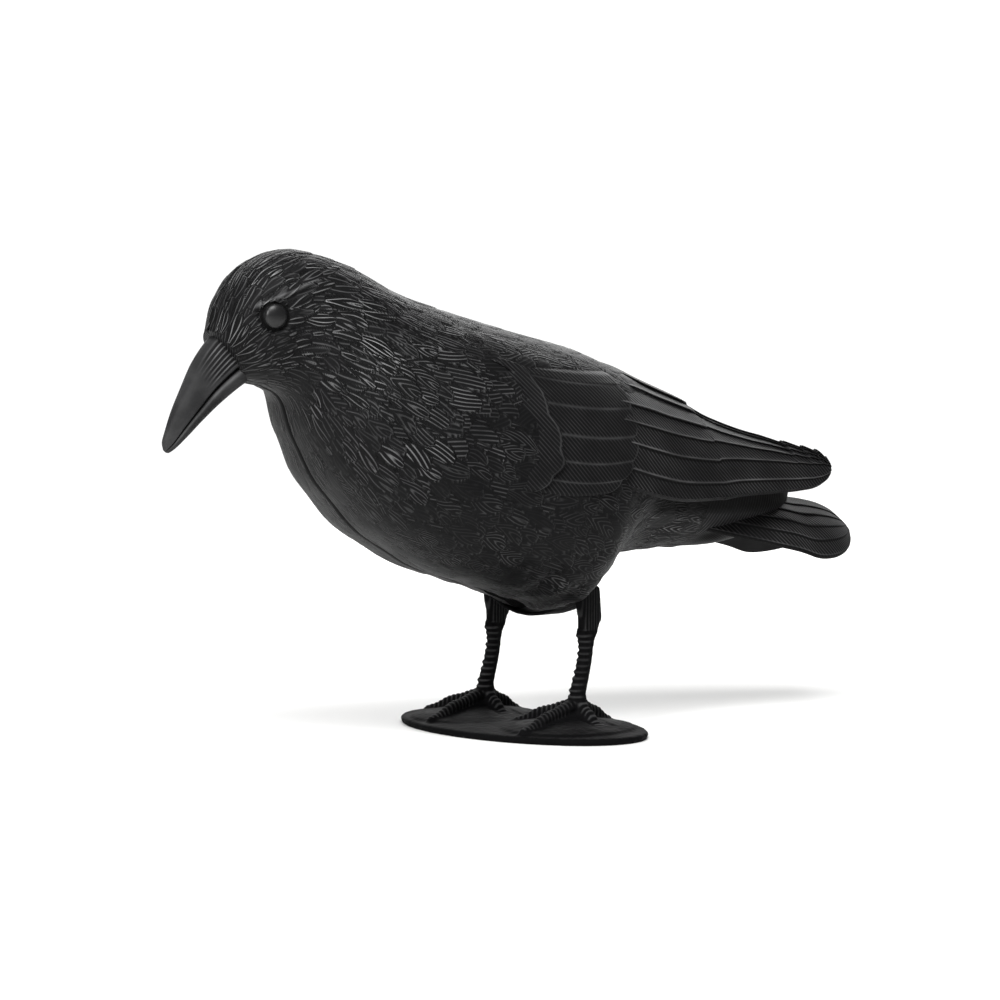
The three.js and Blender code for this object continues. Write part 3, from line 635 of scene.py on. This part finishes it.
# Down a cut from 0 to 1, and how much of the half width the beak has there.
beak_outline = [(0, 0), (.03, .3), (.12, .6), (.3, .86), (.5, .99), (.6, 1), (.64, .82), (.68, .88),
                (.82, .78), (.95, .45), (1, 0)]
gape_at, lip_at = 0.64, 0.72  # where down the cut the groove and the lower lip lie
bristles = 7

for side, name in halves:
    long, wide = 96, 60
    top_x, top_z, low_x, low_z, half = smooth_rows(beak_cuts, np.linspace(0, 1, long + 1)).T[:, :, None]
    depth, width = smooth_rows(beak_outline, np.linspace(0, 1, wide + 1)).T[:, None, :]
    back = 1 - np.linspace(0, 1, long + 1)[:, None]
    # The bristles are combed over the upper half of the root.
    combed = smooth_step(0.66, 0.85, back) * smooth_step(0.04, 0.14, depth)
    combed = combed * (1 - smooth_step(0.5, 0.58, depth))
    outer = on_bird(top_x + (low_x - top_x) * depth, np.clip(width, 0, None) * half,
                    top_z + (low_z - top_z) * depth)
    outer[..., 1] = np.maximum(outer[..., 1], middle_plane)
    inner = outer.copy()
    inner[..., 1] = middle_plane
    # Painted shade darkens the groove at the gape, and a painted highlight lightens the lower lip.
    gape = np.exp(-((depth - gape_at) / 0.02) ** 2) * smooth_step(0.02, 0.1, 1 - back)
    lip = np.exp(-((depth - lip_at) / 0.03) ** 2) * (1 - smooth_step(0.5, 0.9, 1 - back))
    traits = {"barb": bristles * 2 * depth + 1.5 * back, "barb_depth": 0.5 * combed,
              "tone": 0.12 + 0.35 * lip - 1.2 * gape}
    beak = shell_between(name + "_beak", outer, inner[::coarse, ::coarse], side, traits)
    beak.data.materials.append(body_plastic)
    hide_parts(name)
    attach(beak, "root")


# Eyes: a smooth dome in the socket of each half, in one moulding with it. The mould was polished there,
# so the plastic comes out glossier than the feathers round it.
eye_plastic = moulded_plastic("polished_moulded_polypropylene", 0.4, 0.5)

for side, name in halves:
    bm = bmesh.new()
    bmesh.ops.create_uvsphere(bm, u_segments=48, v_segments=24, radius=1)
    bmesh.ops.scale(bm, verts=bm.verts, vec=(eye_radius, eye_bulge, eye_radius))
    eye_at = on_bird(eye_place[0], 0, eye_place[1])
    bmesh.ops.translate(bm, verts=bm.verts, vec=(eye_at[0], side * eye_skin[side], eye_at[2]))
    bmesh.ops.scale(bm, verts=bm.verts, vec=(0.001, 0.001, 0.001))
    eye = add_object(name + "_eye", bm)
    eye.data.polygons.foreach_set("use_smooth", [True] * len(eye.data.polygons))
    eye.data.materials.append(eye_plastic)
    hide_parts(name)
    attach(eye, "root")


# Wing coverts: two rows of broad feathers on the shoulder, moulded with the half-shell in the same
# polypropylene. Each row climbs from the flank to a scalloped rear edge that stands 2 mm proud, and its
# feathers overlap downwards like slats.

# The lines run down the flank in shares: where the coverts begin, and where each row ends.
shoulder_line = [(-19.4, 35.8), (-20.7, 30.6), (-21.2, 25.4), (-20.2, 20.2), (-18.1, 15.5)]
lesser_edge = [(-9.3, 32.4), (-5.7, 30.1), (-4.7, 26.7), (-3.6, 22.8), (-3.4, 19.4), (-5.2, 17.1),
               (-7.8, 15.3)]
greater_edge = [(7.3, 31.1), (9.3, 28.8), (10.0, 25.9), (9.6, 22.3), (8.3, 19.2), (6.0, 16.8), (2.6, 14.8)]
covert_step, covert_slat = 2.0, 0.5  # mm, of the rear edge and of one feather over the next
buried = 1.2  # mm, that the rims of a row lie under the skin
scallop = 0.6  # shares, and so is the next
covert_sag = 0.45


def trunk_half_width(x, z):
    """Half width of the trunk in shares beside places on the middle plane, found by halving."""
    low_t, high_t = np.zeros_like(x), np.ones_like(x)
    for _ in range(30):
        t = (low_t + high_t) / 2
        top_x, top_z, low_x, low_z = np.moveaxis(smooth_rows(trunk_cuts, t), -1, 0)[:4]
        behind = (low_x - top_x) * (z - top_z) - (low_z - top_z) * (x - top_x) > 0
        low_t, high_t = np.where(behind, t, low_t), np.where(behind, high_t, t)
    top_x, top_z, low_x, low_z, half, widest, square = np.moveaxis(smooth_rows(trunk_cuts, low_t), -1, 0)
    depth = ((x - top_x) * (low_x - top_x) + (z - top_z) * (low_z - top_z)) / \
        ((low_x - top_x) ** 2 + (low_z - top_z) ** 2)
    above = depth < widest
    u = np.clip(np.where(above, 1 - depth / widest, (depth - widest) / (1 - widest)), 0, 1)
    power = np.where(above, upper_square, square)
    return half * (1 - u ** power) ** (1 / power)


for side, name in halves:
    for row, front, rear, feathers, start in (("lesser", shoulder_line, lesser_edge, 5, 0.66),
                                              ("greater", lesser_edge, greater_edge, 6, -0.15)):
        long, wide = 88, feathers * 14
        wide -= wide % coarse
        greater = row == "greater"
        down = np.linspace(0, 1, wide + 1)[None, :]
        back = np.linspace(start, 1, long + 1)[:, None]
        front_x, front_z = np.moveaxis(smooth_rows(front, down[0]), -1, 0)
        rear_x, rear_z = np.moveaxis(smooth_rows(rear, down[0]), -1, 0)
        place_in = (down * feathers) % 1
        place_in[0, -1] = 1
        reach = rear_x + scallop * np.sin(math.pi * place_in)
        x = front_x + (reach - front_x) * back
        z = front_z + (rear_z - front_z) * back
        z = z - covert_sag * np.sin(math.pi * np.clip(back, 0, 1)) * greater
        ends = smooth_step(0, 0.08, down) * smooth_step(0, 0.06, 1 - down)
        root = 0.5 if greater else -buried
        rise = np.clip(back, 0, 1) if greater else (back - start) / (1 - start)
        proud = (root + (covert_step - root) * rise) * ends - buried * (1 - ends)
        slat = covert_slat * (0.4 * place_in + 0.6 * place_in ** 5) * greater * ends
        tip = 0.15 * np.exp(-((back - 0.97) / 0.02) ** 2)
        skin_y = trunk_half_width(x, z)
        outer = on_bird(x, skin_y, z)
        outer[..., 1] += proud + slat + tip
        inner = on_bird(x, skin_y, z)[::coarse, ::coarse]
        inner[..., 1] = np.minimum(inner[..., 1] - 1.4, outer[::coarse, ::coarse, 1] - 0.3)
        # Painted highlight lightens the lines between the feathers and along the rear edge.
        lit_slat_line = np.exp(-(np.minimum(place_in, 1 - place_in) / 0.06) ** 2) * greater
        line = np.maximum(lit_slat_line, np.exp(-((back - 0.985) / 0.008) ** 2))
        across = (outer[..., 0] * vane_x + outer[..., 2] * vane_z) / vane_pitch
        traits = {"barb": across, "barb_depth": 0.08 * (1 - line), "tone": 0.13 * line}
        coverts = shell_between(f"{name}_{row}_coverts", outer, inner, side, traits)
        coverts.data.materials.append(body_plastic)
        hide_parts(name)
        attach(coverts, "root")


# Folded wings: thin blades of long feathers that overlap downwards like slats, moulded with the half-shell
# in the same polypropylene. The three uppermost, the tertials, end a third of the way back and lie over
# the rest.
wing_cuts = [
    # x, half width and height of the upper edge, of the lower edge, and the bulge between them
    (2.0, 1.2, 33.2, 14.2, 16.6, 3.2), (7.3, 1.6, 32.7, 14.8, 15.3, 4.1), (13.0, 1.0, 31.4, 13.9, 13.9, 3.9),
    (18.1, .5, 29.5, 12.7, 13.3, 3.4), (24.4, .5, 27.1, 11.4, 13.5, 2.7), (25.4, .5, 26.6, 11.3, 13.5, 2.6),
    (28.5, .8, 25.0, 10.5, 13.9, 2.2), (33.7, 1.6, 23.1, 9.6, 14.2, 1.8), (38.9, 2.8, 21.8, 8.5, 14.5, 1.4),
    (42.7, 3.9, 20.9, 7.6, 14.9, 1.0), (45.1, 4.9, 20.1, 6.7, 15.7, .6), (46.6, 5.7, 18.4, 6.0, 17.1, .3),
]
# How far down the blade each feather's lower edge lies: at the root, halfway and at the tip.
feather_edges = [(.15, .07, .04), (.32, .18, .10), (.51, .35, .18), (.63, .50, .28), (.75, .67, .42),
                 (.88, .86, .78), (1, 1, 1)]
feather_step, tertial_step = 1.1, 1.8  # mm
tertial_count, tertial_end = 3, 5  # the end is counted in cuts
tip_notch = 0.35  # shares
feather_gap = 0.004  # of the blade's depth, between one feather and the next
wing_root = 2  # cuts over which the feathers grow out of the shoulder
blade_wall = 2.2  # mm
barb_lean = math.radians(50)  # of the barbs on wing and tail, off their length


def blade_at(top, low, bulge, down, lift, step=1):
    """Points down the curved cuts of a thin blade, or every step-th of them, lifted off its skin by mm."""
    top, low, bulge, down = top[::step], low[::step], bulge[::step], down[::step, ::step]
    chord = low - top
    out = np.stack([np.zeros(len(chord)), -chord[:, 2], chord[:, 1]], -1)
    out /= np.linalg.norm(out, axis=1, keepdims=True)
    rise = bulge[:, None] * share * np.sin(math.pi * down) + lift
    return top[:, None] + chord[:, None] * down[..., None] + out[:, None] * rise[..., None]


for side, name in halves:
    long, per_feather = 320, 12
    last = len(wing_cuts) - 1
    row = np.linspace(0, last, long + 1)
    x, top_y, top_z, low_y, low_z, bulge = smooth_rows(wing_cuts, row / last).T
    top_z = top_z - tip_notch * (1.35 * np.clip(row - 7.5, 0, None) % 1)
    top, low = on_bird(x, top_y, top_z), on_bird(x, low_y, low_z)
    grown = np.clip(row / wing_root, 0, 1)[:, None]
    # Each feather is a slat: a stretch of the blade that is lifted more and more towards its lower edge.
    down_all, lift_all, lit_edge_all, painted_shade_all = [], [], [], []
    start = np.zeros(long + 1)
    for i, edge in enumerate(feather_edges):
        end = smooth_rows(np.array(edge)[:, None], row / last)[:, 0]
        f = np.linspace(0, 1, per_feather)[None, :]
        over = np.zeros_like(f)
        if i < tertial_count:
            tip = tertial_end - 0.5 - 0.45 * (2 * f - 1) ** 2
            over = 1 - smooth_step(tip - 0.25, tip + 0.25, row[:, None])
            over = tertial_step * (1 - i / tertial_count) * over
        down_all.append(start[:, None] + feather_gap + (end - start - feather_gap)[:, None] * f)
        lift_all.append((over + feather_step * (0.45 * f + 0.55 * f ** 5)) * grown)
        lit_edge_all.append((f > 0.95) * np.ones_like(grown))
        painted_shade_all.append((f < 0.02) * np.ones_like(grown) * (i > 0))
        start = end
    down, lift, edge, painted_shade = (np.concatenate(sheets, axis=1)
                              for sheets in (down_all, lift_all, lit_edge_all, painted_shade_all))
    tip_round = np.sqrt(np.clip(1 - np.clip((row - 10.6) / 0.4, 0, 1) ** 2, 0, 1))[:, None]
    outer = blade_at(top, low, bulge, down, lift * tip_round - (1 - tip_round) * blade_wall / 2)
    wide = (down.shape[1] - 1) // coarse * coarse
    outer, down, edge, painted_shade = (sheet[:, :wide + 1] for sheet in (outer, down, edge, painted_shade))
    inner = blade_at(top, low, bulge, down, -blade_wall, coarse)
    for sheet in (outer, inner):
        sheet[..., 1] = np.maximum(sheet[..., 1], middle_plane)
    across = (outer[..., 0] * math.sin(barb_lean) + outer[..., 2] * math.cos(barb_lean)) / vane_pitch
    # Painted highlight lightens each feather's lower edge, and painted shade darkens the foot of the step
    # under it.
    traits = {"barb": across, "barb_depth": 0.15 * (1 - edge), "tone": 0.34 * edge - 0.4 * painted_shade}
    wing = shell_between(name + "_wing", outer, inner, side, traits)
    wing.data.materials.append(body_plastic)
    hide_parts(name)
    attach(wing, "root")


# Tail: each half-shell carries half of it, moulded in one with the trunk from the same polypropylene. It
# is a thin blade of overlapping feathers that slopes from the ridge on the middle plane to its rounded
# outer edge.
tail_cuts = [
    # x, height of the ridge, half width and height of the edge, and the bulge between them
    (25.9, 15.3, 5.6, 9.9, .5), (30.6, 15.0, 7.0, 8.8, .9), (35.0, 14.8, 8.1, 7.8, 1.0),
    (39.4, 14.2, 8.8, 6.8, 1.2), (42.7, 13.7, 8.9, 5.8, 1.2), (45.6, 13.3, 8.5, 5.8, 1.2),
    (48.4, 12.7, 7.2, 6.4, .9), (50.9, 11.7, 5.0, 7.4, .5), (52.9, 10.3, 2.1, 8.8, .1),
]
tail_feathers = 5
tail_step = 0.7  # mm, of one feather over the next

for side, name in halves:
    long, wide = 160, 60
    t = np.linspace(0, 1, long + 1)
    x, ridge_z, edge_y, edge_z, bulge = smooth_rows(tail_cuts, t).T
    top, low = on_bird(x, 0, ridge_z), on_bird(x, edge_y, edge_z)
    down = np.linspace(0, 1, wide + 1)[None, :] * np.ones((long + 1, 1))
    slat = (down * tail_feathers) % 1
    ends = (1 - smooth_step(0.9, 1, t))[:, None]
    lift = -tail_step * (1 - slat ** 1.3) * smooth_step(0.02, 0.2, down) * ends
    outer = blade_at(top, low, bulge, down, lift)
    inner = blade_at(top, low, bulge, down, -blade_wall, coarse)
    for sheet in (outer, inner):
        sheet[..., 1] = np.maximum(sheet[..., 1], middle_plane)
    # Painted highlight along each feather's edge, and painted shade at the foot of each step.
    edge = np.exp(-((slat - 0.94) / 0.05) ** 2)
    across = (outer[..., 0] * math.sin(barb_lean) - outer[..., 1] * math.cos(barb_lean)) / vane_pitch
    traits = {"barb": across, "barb_depth": 0.17 * (1 - edge),
              "tone": 0.25 * edge - 0.5 * (slat < 0.04) * (down > 0.1)}
    tail = shell_between(name + "_tail", outer, inner, side, traits)
    tail.data.materials.append(body_plastic)
    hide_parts(name)
    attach(tail, "root")


# Stand: one moulding in the same polypropylene, matt. The bird sits on its yoke, a thin bent band between
# two flat ribbed thighs. Fine scutes ring the shins and toes, and the oval base swells up to the feet.

# The piece is the CAD solid's own form, rounded, with the swellings, rings and ribs added. All in mm.
base_top, ankle_height = 5.4, 16.0
mound_length, mound_width, mound_height = 34, 32, 4.0
toes = [(-80, 18), (-3, 43), (68, 35), (178, 25)]  # heading, towards the right foot, and length
scute_pitch, ring_pitch, rib_pitch = 2.5, 3.0, 1.9
scute_depth, rib_depth = 0.3, 0.2
knee_rise, knee_length = 1.3, 8
voxel = 0.8
toe_sink = 0.55  # of a toe's height, at its end

stand_plastic = moulded_plastic("matt_moulded_polypropylene", 0.7, 0.05, 0.7)
stand_form = bpy.data.meshes.new_from_object(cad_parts["stand"])
bm = bmesh.new()
bm.from_mesh(stand_form)
bmesh.ops.remove_doubles(bm, verts=bm.verts, dist=1e-6)
for way in (-1, 1):
    made = bmesh.ops.create_cone(bm, cap_ends=True, segments=64, radius1=1, radius2=0.22, depth=1)["verts"]
    mound_x, mound_y, _ = on_stand(way * leg_spacing / 2, 0, 0)
    bmesh.ops.scale(bm, verts=made, vec=(mound_length, mound_width, mound_height + 0.6))
    bmesh.ops.rotate(bm, verts=made, cent=(0, 0, 0), matrix=Matrix.Rotation(stand_turn, 3, "Z"))
    bmesh.ops.translate(bm, verts=made, vec=(mound_x, mound_y, base_top + mound_height / 2 - 0.3))
    bmesh.ops.scale(bm, verts=made, vec=(0.001, 0.001, 0.001))
bm.to_mesh(stand_form)
bm.free()
stand = bpy.data.objects.new("stand_moulding", stand_form)
bpy.context.collection.objects.link(stand)

# The swellings and the solid become one skin, rounded like a worn mould's, before the detail is cut in.
remesh = stand.modifiers.new("voxels", "REMESH")
remesh.mode = "VOXEL"
remesh.voxel_size = voxel / 1000
apply_modifiers(stand)
bm = bmesh.new()
bm.from_mesh(stand.data)
for _ in range(5):
    bmesh.ops.smooth_vert(bm, verts=bm.verts, factor=0.5, use_axis_x=True, use_axis_y=True, use_axis_z=True)
bmesh.ops.recalc_face_normals(bm, faces=bm.faces)
bm.to_mesh(stand.data)
bm.free()

# Where each point of the skin is on the stand: heights, places round each foot, and the part it belongs to.
count = len(stand.data.vertices)
place, facing = np.empty(3 * count), np.empty(3 * count)
stand.data.vertices.foreach_get("co", place)
stand.data.vertices.foreach_get("normal", facing)
place = place.reshape(-1, 3) * 1000
facing = facing.reshape(-1, 3)
toward_right = -math.sin(stand_turn) * place[:, 0] + math.cos(stand_turn) * place[:, 1]
forward = -math.cos(stand_turn) * place[:, 0] - math.sin(stand_turn) * place[:, 1]
height = place[:, 2]
foot_a = toward_right - np.sign(toward_right) * leg_spacing / 2
foot_b = forward + leg_setback
reach = np.hypot(foot_a, foot_b)
knee_height = thigh_top - thigh_length
on_thigh = smooth_step(knee_height, knee_height + 3, height) * (np.abs(foot_a) < 6)
on_shin = smooth_step(ankle_height, ankle_height + 3, height) * (1 - on_thigh) * (np.abs(foot_a) < 8)
on_toe, toe_end = np.zeros(count), np.zeros(count)
for heading, length in toes:
    course = math.radians(heading)
    off_axis = np.abs(foot_a * math.cos(course) - foot_b * math.sin(course))
    out = foot_a * math.sin(course) + foot_b * math.cos(course)
    on_this = (1 - smooth_step(2.2, 3.6, off_axis)) * smooth_step(1, 4, out) * (out < length + 3)
    on_toe = np.maximum(on_toe, on_this)
    toe_end = np.maximum(toe_end, (off_axis < 7) * smooth_step(0.5 * length, length + 3, out))
on_toe *= smooth_step(5.8, 6.8, height) * (1 - smooth_step(ankle_height - 1, ankle_height + 2, height))

across_leg = facing @ on_stand(0, 1, 0)  # 1 on the front of a leg, -1 on its back
on_front = smooth_step(-0.2, 0.4, across_leg)
ribs = rib_depth * on_thigh * np.sin(math.tau * foot_b / rib_pitch)
shin_rings = scute_depth * on_shin * np.sin(math.tau * height / ring_pitch) * on_front
toe_rings = scute_depth * on_toe * np.sin(math.tau * reach / scute_pitch)
knee = knee_rise * smooth_step(knee_height - knee_length, knee_height - 1, height) * (1 - on_thigh)
knee = knee * (np.abs(foot_a) < 8) * np.abs(across_leg)
place += facing * (ribs + shin_rings + toe_rings + knee)[:, None]
place[:, 2] -= toe_sink * toe_end * (height < ankle_height) * np.clip(place[:, 2] - base_top, 0, None)
place[height < 0.35, 2] = 0  # the underside stays flat
stand.data.vertices.foreach_set("co", (place / 1000).ravel())
# Painted highlight on the crests of the ribs and rings and painted shade in their hollows; the thighs are a
# little lighter, and all below 6 mm darker.
tone = 0.5 * (ribs + shin_rings + toe_rings) + 0.02 * on_thigh - 0.15 * (height < 6)
for trait, values in (("barb", np.zeros(count)), ("barb_depth", np.zeros(count)), ("tone", tone)):
    add_trait(stand.data, trait, values)
stand.data.polygons.foreach_set("use_smooth", [True] * len(stand.data.polygons))
stand.data.materials.clear()
stand.data.materials.append(stand_plastic)
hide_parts("stand")
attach(stand, "root")
